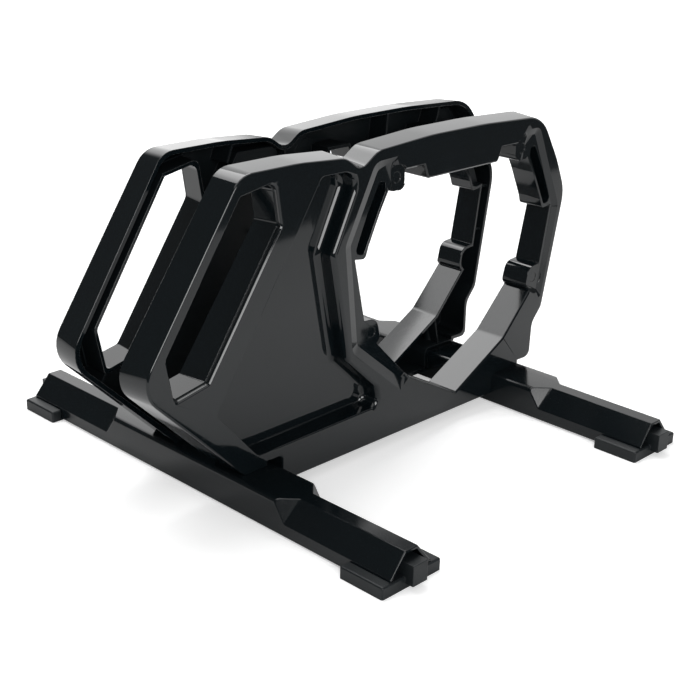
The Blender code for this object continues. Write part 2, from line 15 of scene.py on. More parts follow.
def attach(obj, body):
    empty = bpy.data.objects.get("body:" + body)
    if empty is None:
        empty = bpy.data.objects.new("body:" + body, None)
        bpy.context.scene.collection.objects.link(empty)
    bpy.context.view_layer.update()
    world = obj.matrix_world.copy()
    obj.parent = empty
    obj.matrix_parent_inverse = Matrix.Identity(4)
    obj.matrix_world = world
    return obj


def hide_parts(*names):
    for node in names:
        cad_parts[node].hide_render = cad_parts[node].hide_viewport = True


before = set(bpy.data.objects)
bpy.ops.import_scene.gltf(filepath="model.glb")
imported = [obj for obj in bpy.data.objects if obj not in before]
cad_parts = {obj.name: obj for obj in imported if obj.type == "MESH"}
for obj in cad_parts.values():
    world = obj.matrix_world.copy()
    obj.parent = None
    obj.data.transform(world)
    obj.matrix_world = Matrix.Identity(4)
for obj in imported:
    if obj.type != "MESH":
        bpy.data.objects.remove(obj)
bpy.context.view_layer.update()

bl_info = {
    "name": "Bike Wheel Stand Finish",
    "version": (1, 0, 0),
    "blender": (4, 5, 0),
    "location": "View3D > Sidebar > Wheel Stand",
    "description": "Finishes a moulded bike wheel stand and sets it in a pale studio",
    "category": "Object",
}

# Nodes of the CAD part, the side frames each with its side of the middle plane

SIDE_FRAMES = {"side_frame_right": -1, "side_frame_left": 1}
CROSS_BARS = ("base_bar_front", "base_bar_rear")
END_FEET = ("end_foot_front_right", "end_foot_front_left", "end_foot_rear_right", "end_foot_rear_left")
FRAME_SCREWS = ("frame_screw_front_right", "frame_screw_front_left",
                "frame_screw_rear_right", "frame_screw_rear_left")

# Edge rounding of all mouldings

WELD = 0.00002                      # points of a CAD mesh that are nearer than this are one point
CRISP = math.radians(32)            # edges that turn more than this get a rounding of their own
EDGE_SEGMENTS = 2                   # facets of each rounding
ROOM_PER_RADIUS = 2.2               # edges shorter than this many radii get less rounding
LARGE_FACES_LEAD = 100              # how far large faces lead the shading of the roundings beside them
STEP_TURN = math.radians(8)         # least turn at a sloped step's edges
STEP_DEPTH = 0.0015                 # least depth of a sloped step
FLAT = 0.9999                       # how squarely a flat face looks along Y
SIDE_VIEW = Vector((1.0, 0.0, 1.0))     # what a place keeps when it is seen from the side
WINDOW_LINE = (Vector((-0.181, 0.0, 0.1118)), Vector((-0.1112, 0.0, 0.2154)))   # rear edge of the window
WINDOW_LINE_REACH = 0.004           # edges nearer than this to it stay nearly sharp
WINDOW_LINE_SHARE = 0.3             # what is left of their rounding

# Levels of the side frames, as distances from the middle plane

FACE_DEPTH = 0.0551                 # the outer face
LEDGE_DEPTH = 0.0526                # the sunk ledge round the loop
PANEL_DEPTH = 0.0401                # the recessed panel's floor
FLAT_WITHIN = 0.00001               # how near its plane a flat face's corners lie
FLAT_TURN = math.radians(0.2)       # edges that turn less than this lie in one flat face

# Border of the recessed panel: the wall between its floor and the outer face

BORDER_RUN = 0.0020                 # how far the wall leans out on its way up
WIDE_BORDER = (0.0060, 0.0050)      # radii at the floor and at the face, rear and bottom walls
NARROW_BORDER = (0.0012, 0.0012)    # the same at the front and top walls
WIDE_SIDE = Vector((-0.95, 0.0, 0.3))   # the way in from the walls with the wide rounding
WIDE_FROM, WIDE_RUN = 0.33, 0.3     # where a wall's way begins to count as that, and how fast it does
BORDER_STEPS = 6                    # facets of each of the wall's roundings
BORDER_FADE = 6                     # corners over which the rounding fades out at the low front corner
BORDER_END = (-0.124, -0.112)       # the rounding of the bottom wall fades out between these, in X
BOTTOM_WALL = (0.037, 0.048)        # heights between which the bottom wall lies
SCREW_BOSS = Vector((-0.1350, 0.0, 0.0435))     # the low front corner, where the border stays as it is
BOSS_REACH = 0.006                  # so near to it, that is

# Upper front end of the ledge, where its sloped step runs out

LEDGE_FADE = (-0.0103, 0.0041)      # from here to here in X
LEDGE_FADE_ABOVE = 0.2375           # and above this height
LEDGE_FADE_MOVE = Vector((0.0036, 0.0, 0.0048))     # of the step's foot at the end of that

# Open backs of the side frames

BACK_FACING = 0.9                   # how squarely the back's own floor looks at the other frame
HOLLOW_DEPTH = 0.045                # and its least distance from the middle plane
RIM_DEPTH, RIM_LEAN = 0.0225, 0.0308    # the inner rim's depth at the floor, and its rise with height
RIM_WITHIN = 0.0003                 # how near the rim's plane its faces' corners lie

# Noises: features per metre, detail and, where it isn't 0.5, roughness

FLOW_NOISE = (9.0, 1.0)
PEEL_NOISE = (900.0, 2.0)
CLOUD_NOISE = (26.0, 4.0, 0.6)
RUB_NOISE = (1.0, 3.0)
SPECK_NOISE = (1400.0, 1.0)
GRAIN_NOISE = (1500.0, 3.0, 0.6)
SCUFF_NOISE = (70.0, 4.0, 0.6)
TURNED_NOISE = (1.0, 2.0)
SPANGLE_NOISE = (300.0, 3.0)
FLOOR_NOISE = (40.0, 3.0)
RUB_STRETCH = (60.0, 900.0, 260.0)  # features per metre along each axis
TURNED_STRETCH = (400.0, 400.0, 6000.0)

# Reliefs: strength, and height in metres

FLOW_RELIEF = (0.5, 0.0016)
PEEL_RELIEF = (0.10, 0.00002)
GRAIN_RELIEF = (0.35, 0.00006)
TURNED_RELIEF = (0.4, 0.00003)
RUB_DEPTH = 0.3                     # of the peel's height

# Wear and variation: where a noise begins and ends to tell, and by how much it does

RUB_RANGE = (0.60, 0.74)
SPECK_RANGE = (0.74, 0.80)
WORN_RANGE = (0.42, 0.62)
SCUFF_RANGE = (0.40, 0.62)
EDGE_RANGE = (0.01, 0.14)           # of 1 less the cosine of a normal's lean at an edge
EDGE_SAMPLES = 4
WORN_REACH = 2.2                    # width of worn edges, in edge radii
SCUFF_REACH = 2.5
PLASTIC_SHADES = (0.85, 1.2)        # of the plain colour, from cloud to cloud
WORN_SHADE, WORN_SHARE = 2.4, 0.35
DUST_COLOR, DUST_SHARE = (0.10, 0.10, 0.10), 0.15
PLASTIC_ROUGHER = (0.03, 0.06, 0.04, 0.2)       # by clouds, rubs, worn edges and specks
RUBBER_SHADES = (0.8, 1.25)
SCUFF_SHADE, SCUFF_SHARE = 2.6, 0.6
RUBBER_ROUGHER = 0.12               # by the grain and by scuffs
ZINC_SHADES = (0.85, 1.1)
ZINC_ROUGHNESS = 0.28
ZINC_ROUGHER = (0.18, 0.1)          # by turned marks and spangles

# Refractive indices, which set how much each surface mirrors

FRAME_INDEX = 1.5
HOLLOW_INDEX = 1.3
BAR_INDEX = 1.40
RUBBER_INDEX = 1.37


# Settings that a user would change

class PlasticLook(bpy.types.PropertyGroup):
    color: FloatVectorProperty(
        name="Plastic colour", description="Colour of the moulded plastic", subtype="COLOR",
        default=(0.0032, 0.0052, 0.0064), min=0.0, max=1.0)
    frame_roughness: FloatProperty(
        name="Frame roughness", description="Roughness of the polished side frames", subtype="FACTOR",
        default=0.05, min=0.0, max=1.0)
    hollow_roughness: FloatProperty(
        name="Hollow roughness", description="Roughness of the frames' unpolished open backs",
        subtype="FACTOR", default=0.50, min=0.0, max=1.0)
    bar_roughness: FloatProperty(
        name="Bar roughness", description="Roughness of the cross bars, a little duller than the frames",
        subtype="FACTOR", default=0.14, min=0.0, max=1.0)
    edge_radius: FloatProperty(
        name="Edge radius", description="Rounding of the side frames' edges", subtype="DISTANCE",
        unit="LENGTH", default=0.00036, min=0.0, max=0.002)
    bar_edge_radius: FloatProperty(
        name="Bar edge radius", description="Rounding of the cross bars' edges", subtype="DISTANCE",
        unit="LENGTH", default=0.0007, min=0.0, max=0.002)


class RubberLook(bpy.types.PropertyGroup):
    color: FloatVectorProperty(
        name="Rubber colour", description="Colour of the end feet", subtype="COLOR",
        default=(0.0070, 0.0092, 0.0105), min=0.0, max=1.0)
    roughness: FloatProperty(
        name="Rubber roughness", description="Roughness of the moulded rubber", subtype="FACTOR",
        default=0.34, min=0.0, max=1.0)
    edge_radius: FloatProperty(
        name="Edge radius", description="Rounding of the feet's edges", subtype="DISTANCE", unit="LENGTH",
        default=0.0004, min=0.0, max=0.002)


class SteelLook(bpy.types.PropertyGroup):
    color: FloatVectorProperty(
        name="Zinc colour", description="Colour of the screws' plating", subtype="COLOR",
        default=(0.60, 0.60, 0.58), min=0.0, max=1.0)


class StudioLook(bpy.types.PropertyGroup):
    floor_color: FloatVectorProperty(
        name="Floor colour", description="Colour of the studio floor", subtype="COLOR",
        default=(0.90, 0.90, 0.90), min=0.0, max=1.0)
    floor_lift: FloatProperty(
        name="Floor lift", description="How far the floor's picture is lifted towards white",
        subtype="FACTOR", default=0.40, min=0.0, max=1.0)
    sky_strength: FloatProperty(
        name="Fill light", description="Strength of the even light from all round",
        default=0.40, min=0.0, max=4.0)
    lamp_power: FloatProperty(
        name="Lamp power", description="Power of the overhead soft lamp in watts",
        unit="POWER", default=23.0, min=0.0, max=200.0)
    camera_lamp_power: FloatProperty(
        name="Camera lamp power", description="Power of the soft lamp beside the camera in watts",
        unit="POWER", default=24.5, min=0.0, max=200.0)


# Shader helpers

class Flow:
    """A socket of a shader tree that takes part in Python arithmetic."""

    def __init__(self, tree, socket):
        self.tree = tree
        self.socket = socket

    def maths(self, operation, *terms):
        return self.tree.node("ShaderNodeMath", {"operation": operation}, dict(enumerate(terms)))

    def __add__(self, other):
        return self.maths("ADD", self, other)

    __radd__ = __add__

    def __mul__(self, other):
        return self.maths("MULTIPLY", self, other)

    def __sub__(self, other):
        return self.maths("SUBTRACT", self, other)

    def __rsub__(self, other):
        return self.maths("SUBTRACT", other, self)

    def most(self, other):
        return self.maths("MAXIMUM", self, other)

    def between(self, low, high):
        """0 below low, 1 above high, and a soft step between them."""
        return self.tree.node("ShaderNodeMapRange", {"interpolation_type": "SMOOTHSTEP"},
                              {"Value": self, "From Min": low, "From Max": high})


class ShaderTree:
    """A node tree that is written one node at a time."""

    def __init__(self, tree):
        self.tree = tree
        tree.nodes.clear()

    def node(self, kind, settings=None, inputs=None, output=0):
        """Adds a node: its settings first, then the values or links of its sockets."""
        made = self.tree.nodes.new(kind)
        for name, value in (settings or {}).items():
            setattr(made, name, value)
        for key, value in (inputs or {}).items():
            socket = made.inputs[key]
            if isinstance(value, Flow):
                self.tree.links.new(value.socket, socket)
            elif socket.type == "RGBA":
                socket.default_value = (*value, 1.0)
            else:
                socket.default_value = value
        return Flow(self, made.outputs[output]) if made.outputs else None

    def place(self):
        """The place on the object, in metres."""
        return self.node("ShaderNodeTexCoord", output="Object")

    def stretched(self, where, scale):
        """A place, scaled along each axis."""
        return self.node("ShaderNodeMapping", {"vector_type": "POINT"}, {"Vector": where, "Scale": scale})

    def noise(self, where, scale, detail, roughness=0.5):
        return self.node("ShaderNodeTexNoise", {}, {"Vector": where, "Scale": scale, "Detail": detail,
                                                    "Roughness": roughness})

    def mixed(self, factor, low, high):
        """A colour between two colours, by the Mix node's sockets for colours."""
        return self.node("ShaderNodeMix", {"data_type": "RGBA"}, {0: factor, 6: low, 7: high}, output=2)

    def relief(self, height, strength, distance, **below):
        """Normals of a relief, which may lie on another one."""
        return self.node("ShaderNodeBump", {}, {"Strength": strength, "Distance": distance,
                                                "Height": height, **below})


def new_material(name):
    """A material with an empty tree, and the tree."""
    made = bpy.data.materials.new(name)
    made.use_nodes = True
    return made, ShaderTree(made.node_tree)


def principled(tree, **sockets):
    """Ends a tree in a Principled shader."""
    words = {key.replace("_", " "): value for key, value in sockets.items()}
    shader = tree.node("ShaderNodeBsdfPrincipled", {}, words)
    tree.node("ShaderNodeOutputMaterial", {}, {"Surface": shader})


def shade(color, factor):
    """A darker or lighter colour."""
    return tuple(part * factor for part in color)


def cloudy(tree, clouds, color, shades):
    """A colour that varies with the clouds between two shades."""
    return tree.mixed(clouds, *(shade(color, factor) for factor in shades))


def edge_mask(tree, reach):
    """1 along outer edges and 0 on the faces between them."""
    soft = tree.node("ShaderNodeBevel", {"samples": EDGE_SAMPLES}, {"Radius": reach})
    true = tree.node("ShaderNodeNewGeometry", output="Normal")
    along = tree.node("ShaderNodeVectorMath", {"operation": "DOT_PRODUCT"}, {0: soft, 1: true},
                      output="Value")
    return (1 - along).between(*EDGE_RANGE)


def moulded_plastic(look, name, gloss_roughness, index):
    """Black plastic with soft flow waves, fine peel, faint rubs, a little dust and worn edges."""
    material, tree = new_material(name)
    place = tree.place()
    flow = tree.noise(place, *FLOW_NOISE)
    peel = tree.noise(place, *PEEL_NOISE)
    clouds = tree.noise(place, *CLOUD_NOISE)
    rubs = tree.noise(tree.stretched(place, RUB_STRETCH), *RUB_NOISE).between(*RUB_RANGE)
    specks = tree.noise(place, *SPECK_NOISE).between(*SPECK_RANGE)
    worn = edge_mask(tree, look.edge_radius * WORN_REACH) * clouds.between(*WORN_RANGE)
    body = cloudy(tree, clouds, look.color, PLASTIC_SHADES)
    dusty = tree.mixed(specks * DUST_SHARE, body, DUST_COLOR)
    color = tree.mixed(worn * WORN_SHARE, dusty, shade(look.color, WORN_SHADE))
    roughness = gloss_roughness
    for mark, rougher in zip((clouds, rubs, worn, specks), PLASTIC_ROUGHER):
        roughness = roughness + mark * rougher
    waves = tree.relief(flow, *FLOW_RELIEF)
    bump = tree.relief(peel - rubs * RUB_DEPTH, *PEEL_RELIEF, Normal=waves)
    principled(tree, Base_Color=color, Roughness=roughness, Normal=bump, IOR=index)
    return material


def foot_rubber(look):
    """Matt grey rubber with a fine grain, soft clouds and scuffed edges."""
    material, tree = new_material("foot_rubber")
    place = tree.place()
    grain = tree.noise(place, *GRAIN_NOISE)
    clouds = tree.noise(place, *SCUFF_NOISE)
    scuffed = edge_mask(tree, look.edge_radius * SCUFF_REACH) * clouds.between(*SCUFF_RANGE)
    body = cloudy(tree, clouds, look.color, RUBBER_SHADES)
    color = tree.mixed(scuffed * SCUFF_SHARE, body, shade(look.color, SCUFF_SHADE))
    roughness = look.roughness + grain * RUBBER_ROUGHER + scuffed * RUBBER_ROUGHER
    bump = tree.relief(grain, *GRAIN_RELIEF)
    principled(tree, Base_Color=color, Roughness=roughness, Normal=bump, IOR=RUBBER_INDEX)
    return material


def zinc_plate(look):
    """Zinc plated steel with turned marks and small spangles."""
    material, tree = new_material("zinc_plate")
    place = tree.place()
    turned = tree.noise(tree.stretched(place, TURNED_STRETCH), *TURNED_NOISE)
    spangles = tree.noise(place, *SPANGLE_NOISE)
    color = cloudy(tree, spangles, look.color, ZINC_SHADES)
    roughness = ZINC_ROUGHNESS + turned * ZINC_ROUGHER[0] + spangles * ZINC_ROUGHER[1]
    bump = tree.relief(turned, *TURNED_RELIEF)
    principled(tree, Base_Color=color, Metallic=1.0, Roughness=roughness, Normal=bump)
    return material


# Pieces

def merged_copy(node):
    """A closed copy of a CAD node's mesh."""
    bm = bmesh.new()
    bm.from_mesh(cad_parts[node].data)
    bmesh.ops.remove_doubles(bm, verts=bm.verts, dist=WELD)
    return bm


def keep_piece(bm, name, node, materials, radius):
    """Turns a finished bmesh into the piece that stands for a CAD node, with its crisp edges rounded."""
    mark_sharp_edges(bm)
    weigh_crisp_edges(bm, radius)
    mesh = bpy.data.meshes.new(name)
    bm.to_mesh(mesh)
    bm.free()
    # the sweep also leaves it to chance at which end an edge starts
    for edge in mesh.edges:
        edge.vertices = sorted(edge.vertices)
    piece = bpy.data.objects.new(name, mesh)
    bpy.context.scene.collection.objects.link(piece)
    for material in materials:
        mesh.materials.append(material)
    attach(piece, "root")
    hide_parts(node)
    round_edges(piece, radius)


def mark_sharp_edges(bm):
    """Crisp edges are sharp, and so are both sides of a sloped step beside a face that lies flat in Y."""
    for face in bm.faces:
        face.smooth = True
    for edge in bm.edges:
        if len(edge.link_faces) == 2:
            turn = edge.calc_face_angle(0.0)
            edge.smooth = turn < CRISP and not (turn > STEP_TURN and beside_step(edge))


def beside_step(edge):
    """Whether an edge lies between a flat face and a slope that is deeper than any rounding's facet."""
    flat, slope = sorted(edge.link_faces, key=lambda face: -abs(face.normal.y))
    depths = [corner.co.y for corner in slope.verts]
    return abs(flat.normal.y) > FLAT and max(depths) - min(depths) > STEP_DEPTH


def weigh_crisp_edges(bm, radius):
    """Gives crisp edges their share of the rounding, less where the edges around them are short."""
    share = bm.edges.layers.float.new("bevel_weight_edge")
    for edge in bm.edges:
        if len(edge.link_faces) == 2 and edge.calc_face_angle(0.0) > CRISP:
            around = [near.calc_length() for corner in edge.verts for near in corner.link_edges]
            edge[share] = min(min(around) / (ROOM_PER_RADIUS * radius), 1.0)
            if all(window_line_gap(corner.co) < WINDOW_LINE_REACH for corner in edge.verts):
                edge[share] *= WINDOW_LINE_SHARE


def window_line_gap(place):
    """How far a place lies from the rear edge of the handle window, seen from the side."""
    low, high = WINDOW_LINE
    along = (high - low).normalized()
    return ((place - low) * SIDE_VIEW).cross(along).length


def round_edges(piece, radius):
    """Rounds the crisp edges and lets the light run evenly over them."""
    bevel = piece.modifiers.new("edge_rounding", "BEVEL")
    bevel.limit_method = "WEIGHT"
    bevel.width = radius
    bevel.segments = EDGE_SEGMENTS
    bevel.use_clamp_overlap = False
    bevel.miter_outer = "MITER_ARC"
    even = piece.modifiers.new("even_normals", "WEIGHTED_NORMAL")
    even.weight = LARGE_FACES_LEAD
    even.keep_sharp = True


# Recessed panel and ledge of a side frame

def flat_faces(bm, depth):
    """The faces in the plane Y = depth that look away from the stand's middle."""
    return [face for face in bm.faces if face.normal.y * depth > 0
            and all(abs(corner.co.y - depth) < FLAT_WITHIN for corner in face.verts)]


def rim_edges(faces):
    """The edges round some faces, in the same order each run."""
    inside = set(faces)
    return [edge for edge in dict.fromkeys(edge for face in faces for edge in face.edges)
            if sum(face in inside for face in edge.link_faces) == 1]


def split_bottom_wall(bm, side, x):
    """Cuts the panel's bottom wall across at one X; gives the cut's ends at the floor and at the face."""
    ends = []
    for depth in (PANEL_DEPTH, FACE_DEPTH):
        for edge in rim_edges(flat_faces(bm, side * depth)):
            low, high = sorted(edge.verts, key=lambda corner: corner.co.x)
            level = all(BOTTOM_WALL[0] < corner.co.z < BOTTOM_WALL[1] for corner in edge.verts)
            if level and low.co.x < x < high.co.x:
                ends.append(bmesh.utils.edge_split(edge, low, (x - low.co.x) / (high.co.x - low.co.x))[1])
    bmesh.ops.connect_vert_pair(bm, verts=ends)
    return ends


def walk_rim(edges, first, second):
    """Corners along a closed row of edges, from the first over the second and round."""
    beside = {}
    for edge in edges:
        for corner in edge.verts:
            beside.setdefault(corner, []).append(edge.other_vert(corner))
    row = [first, second]
    while row[-1] is not first:
        row.append(next(corner for corner in beside[row[-1]] if corner is not row[-2]))
    return row[:-1]


def crosses_wall(edge, side):
    """Whether an edge is a flat quad's diagonal between the panel's floor and the outer face."""
    low, high = sorted(corner.co.y * side for corner in edge.verts)
    return (abs(low - PANEL_DEPTH) < FLAT_WITHIN and abs(high - FACE_DEPTH) < FLAT_WITHIN
            and edge.calc_face_angle(1.0) < FLAT_TURN)


def border_corners(bm, side):
    """Corners of the panel's floor in order along the wall, with their partners on the outer face."""
    bmesh.ops.dissolve_edges(bm, edges=[edge for edge in bm.edges if crosses_wall(edge, side)])
    starts = zip(*[split_bottom_wall(bm, side, x) for x in BORDER_END])
    inner, outer = [walk_rim(rim_edges(flat_faces(bm, side * depth)), *start)
                    for depth, start in zip((PANEL_DEPTH, FACE_DEPTH), starts)]
    gaps = [(corner.co * SIDE_VIEW - SCREW_BOSS).length for corner in inner]
    count = next(number for number, gap in enumerate(gaps) if gap < BOSS_REACH)
    return inner[:count], outer[:count]


def border_ways(places):
    """For each place round the panel: the way in, mitred, its share of wide rounding, and the fading."""
    count = len(places)
    turning = sum(places[i - 1].x * places[i].z - places[i].x * places[i - 1].z for i in range(count))
    sides = []
    for before, after in zip(places, places[1:]):
        along = (after - before).normalized() * math.copysign(1, turning)
        sides.append(Vector((-along.z, 0, along.x)))
    sides = [sides[0], *sides, sides[-1]]
    for number, (first, second) in enumerate(zip(sides, sides[1:])):
        way = (first + second) / (1 + first.dot(second))
        share = min(max((way.normalized().dot(WIDE_SIDE) - WIDE_FROM) / WIDE_RUN, 0), 1)
        fade = min((count - 1 - number) / BORDER_FADE, number, 1)
        yield way, share * share * (3 - 2 * share), fade


def border_arc():
    """The rounding between floor and wall for a radius of 1: shares of the floor's and the wall's way."""
    lean = math.atan2(BORDER_RUN, FACE_DEPTH - PANEL_DEPTH)
    turn = math.pi / 2 - lean
    for step in range(BORDER_STEPS + 1):
        angle = -math.pi / 2 - turn * step / BORDER_STEPS
        inward = math.tan(turn / 2) + math.cos(angle)
        height = 1 + math.sin(angle)
        yield inward + height * math.tan(lean), height / math.cos(lean)


def border_rows(chain, partners):
    """For each corner along the wall, its places over both roundings, from the floor to the face."""
    arc = list(border_arc())
    length = math.hypot(BORDER_RUN, FACE_DEPTH - PANEL_DEPTH)
    rows = []
    for inner, outer, (way, share, fade) in zip(chain, partners, border_ways([c.co for c in chain])):
        low, high = ((narrow + (wide - narrow) * share) * fade
                     for wide, narrow in zip(WIDE_BORDER, NARROW_BORDER))
        rise = (outer.co - inner.co) / length
        rows.append([inner.co + (way * a + rise * b) * low for a, b in arc]
                    + [outer.co - (way * a + rise * b) * high for a, b in reversed(arc)])
    return rows


def move_to(corners, rows, level):
    """Moves corners to one level of their rows."""
    for corner, places in zip(corners, rows):
        corner.co = places[level]


def sweep_border(bm, ring, rows):
    """Extrudes an open row of corners over all further levels of their rows; gives the last corners."""
    for level in range(1, len(rows[0])):
        pairs = set(zip(ring, ring[1:])) | set(zip(ring[1:], ring))
        edges = [edge for edge in dict.fromkeys(edge for corner in ring for edge in corner.link_edges)
                 if tuple(edge.verts) in pairs]
        new = set(bmesh.ops.extrude_edge_only(bm, edges=edges)["geom"])
        ring = [next(edge.other_vert(corner) for edge in corner.link_edges if edge.other_vert(corner) in new)
                for corner in ring]
        move_to(ring, rows, level)
    return ring


def refill_level(bm, faces, side):
    """Fills a flat level again after its corners have moved."""
    faces = [face for face in faces if face.is_valid]
    rim = rim_edges(faces)
    bmesh.ops.delete(bm, geom=faces, context="FACES_KEEP_BOUNDARY")
    bmesh.ops.triangle_fill(bm, use_beauty=True, edges=[edge for edge in rim if edge.is_valid],
                            normal=(0, side, 0))


def soften_panel_border(bm, side):
    """Rounds both edges of the panel's wall, widely at the rear and bottom and narrowly elsewhere."""
    chain, partners = border_corners(bm, side)
    known = {*chain, *partners}
    levels = [flat_faces(bm, side * depth) for depth in (PANEL_DEPTH, FACE_DEPTH)]
    level_faces = {*levels[0], *levels[1]}
    wall = [face for face in bm.faces if face not in level_faces
            and all(corner in known for corner in face.verts)]
    bmesh.ops.delete(bm, geom=wall, context="FACES_KEEP_BOUNDARY")
    rows = border_rows(chain, partners)
    last = sweep_border(bm, chain, rows)
    move_to(chain, rows, 0)
    move_to(partners, rows, -1)
    bmesh.ops.weld_verts(bm, targetmap=dict(zip(last, partners)))
    for faces in levels:
        refill_level(bm, faces, side)
    bmesh.ops.remove_doubles(bm, verts=bm.verts, dist=WELD)
    bmesh.ops.recalc_face_normals(bm, faces=bm.faces)
    settle_order(bm)


def settle_order(bm):
    """Orders edges and faces by their lowest corners, because the sweep leaves them in a random order."""
    bm.verts.index_update()
    count = len(bm.verts)

    def rank(part):
        first, second, *rest = sorted(corner.index for corner in part.verts)
        return (first * count + second) * count + (rest[0] if rest else 0)

    bm.edges.sort(key=rank)
    bm.faces.sort(key=rank)


def fade_ledge_end(bm, side):
    """Lets the step at the ledge's upper front run out to nothing at its top end."""
    start, end = LEDGE_FADE
    for corner in bm.verts:
        share = (corner.co.x - start) / (end - start)
        on_ledge = abs(corner.co.y - side * LEDGE_DEPTH) < FLAT_WITHIN
        if on_ledge and corner.co.z > LEDGE_FADE_ABOVE and 0 < share <= 1:
            corner.co += LEDGE_FADE_MOVE * share


# Open back of a side frame

def hollow_faces(bm, side):
    """The faces of a side frame's open back, up to the rim that faces the other frame."""
    found = {face for face in bm.faces if face.normal.y * side < -BACK_FACING
             and face.calc_center_median().y * side > HOLLOW_DEPTH}
    fresh = list(found)
    while fresh:
        for edge in fresh.pop().edges:
            for face in edge.link_faces:
                if face not in found and not on_rim(face, side):
                    found.add(face)
                    fresh.append(face)
    return found


def on_rim(face, side):
    """Whether a face lies in the plane of the frame's inner rim."""
    return all(abs(corner.co.y * side - RIM_DEPTH - RIM_LEAN * corner.co.z) < RIM_WITHIN
               for corner in face.verts)


# Operators for the pieces

class STAND_OT_side_frames(bpy.types.Operator):
    """Finish the two moulded side frames"""
    bl_idname = "wheel_stand.side_frames"
    bl_label = "Side Frames"

    def execute(self, context):
        look = context.scene.stand_plastic
        plastic = moulded_plastic(look, "frame_plastic", look.frame_roughness, FRAME_INDEX)
        hollow = moulded_plastic(look, "frame_hollow", look.hollow_roughness, HOLLOW_INDEX)
        for node, side in SIDE_FRAMES.items():
            shell = merged_copy(node)
            soften_panel_border(shell, side)
            fade_ledge_end(shell, side)
            for face in hollow_faces(shell, side):
                face.material_index = 1
            keep_piece(shell, node + "_shell", node, (plastic, hollow), look.edge_radius)
        return {"FINISHED"}


class STAND_OT_cross_bars(bpy.types.Operator):
    """Finish the two cross bars"""
    bl_idname = "wheel_stand.cross_bars"
    bl_label = "Cross Bars"

    def execute(self, context):
        look = context.scene.stand_plastic
        plastic = moulded_plastic(look, "bar_plastic", look.bar_roughness, BAR_INDEX)
        for node in CROSS_BARS:
            keep_piece(merged_copy(node), node + "_moulding", node, (plastic,),
                       look.bar_edge_radius)
        return {"FINISHED"}


class STAND_OT_end_feet(bpy.types.Operator):
    """Finish the rubber feet at the bars' ends"""
    bl_idname = "wheel_stand.end_feet"
    bl_label = "End Feet"

    def execute(self, context):
        look = context.scene.stand_rubber
        rubber = foot_rubber(look)
        for node in END_FEET:
            keep_piece(merged_copy(node), node + "_pad", node, (rubber,), look.edge_radius)
        return {"FINISHED"}


class STAND_OT_frame_screws(bpy.types.Operator):
    """Finish the screws that hold the side frames from below"""
    bl_idname = "wheel_stand.frame_screws"
    bl_label = "Frame Screws"

    def execute(self, context):
        zinc = zinc_plate(context.scene.stand_steel)
        for node in FRAME_SCREWS:
            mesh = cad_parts[node].data
            mesh.materials.clear()
            mesh.materials.append(zinc)
        return {"FINISHED"}


# Studio: places, sizes and levels

CAMERA_PLACE = (-0.73031626, -0.72271674, 0.47768747)
CAMERA_RIGHT = (0.70029686, -0.71348178, 0.02297958)
CAMERA_UP = (0.24560774, 0.27104481, 0.93070487)
CAMERA_AHEAD = (0.67026946, 0.64612573, -0.36504848)
CAMERA_LENS, CAMERA_SENSOR = 67.5358, 36.0      # in millimetres
CAMERA_CLIP = (0.02, 20.0)
LAMP_TARGET = Vector((0.0, 0.0, 0.1))
OVERHEAD_SOFTBOX = ((0.10, 0.60, 1.65), (1.6, 1.2))     # place and size
CAMERA_SOFTBOX = ((-0.95, -1.87, 0.86), (1.30, 0.80))
WHITE = (1.0, 1.0, 1.0)

FLOOR_REACH = (-3.2, -0.555, 3.2, 3.2)      # its front edge ends what the near side frame mirrors
APRON_REACH = (0.0, -1.1, 0.33, -0.555)     # the floor's tongue towards the camera's right
FLOOR_DROP = 0.00002                # how far the floor lies below the feet
FLOOR_GRID = 8
FLOOR_SHADES = (0.99, 1.01)
FLOOR_TURNS_WHITE = (0.6, 1.5)      # distances from the stand's middle

TENT_RADIUS = 3.0
TENT_DIVISIONS = 4
TENT_GLOW = 0.10                    # of the tent's dark parts
AWAY = (0.72, 0.69)                 # the camera's way ahead in X and Y
ACROSS = (0.69, -0.72)              # the way to its right
BACKDROP_BEHIND = (0.7, 1.2)        # the bright backdrop begins here, along the way ahead
BACKDROP_ABOVE = (0.2, 0.4)         # and at this height
CEILING_ABOVE = (2.15, 2.4)         # the bright ceiling begins at this height
BRIGHT_FROM = (-1.9, -1.3)          # both begin here, along the way across
BRIGHT_GLOW, BRIGHT_LOSS = 1.9, 0.9
BRIGHT_FALL = (-0.9, 1.2)           # and lose light from here to here
CARD_WAY = (0.17, -0.985)           # towards the low pale card in front of the near side frame
CARD_BEHIND = (2.82, 2.90)          # it begins here, along that way
CARD_FOOT = (-0.60, -0.50)          # heights of its lower and upper ends
CARD_TOP = (0.10, 0.20)


def stage_mesh(name, bm, material):
    """An object of the stage, made from a bmesh."""
    mesh = bpy.data.meshes.new(name)
    bm.to_mesh(mesh)
    bm.free()
    made = bpy.data.objects.new(name, mesh)
    bpy.context.scene.collection.objects.link(made)
    mesh.materials.append(material)
    return made


def light_path(tree, first, *others):
    """1 for light paths of the named kinds."""
    outputs = tree.node("ShaderNodeLightPath").socket.node.outputs
    found = Flow(tree, outputs[first])
    for name in others:
        found = found.most(Flow(tree, outputs[name]))
    return found


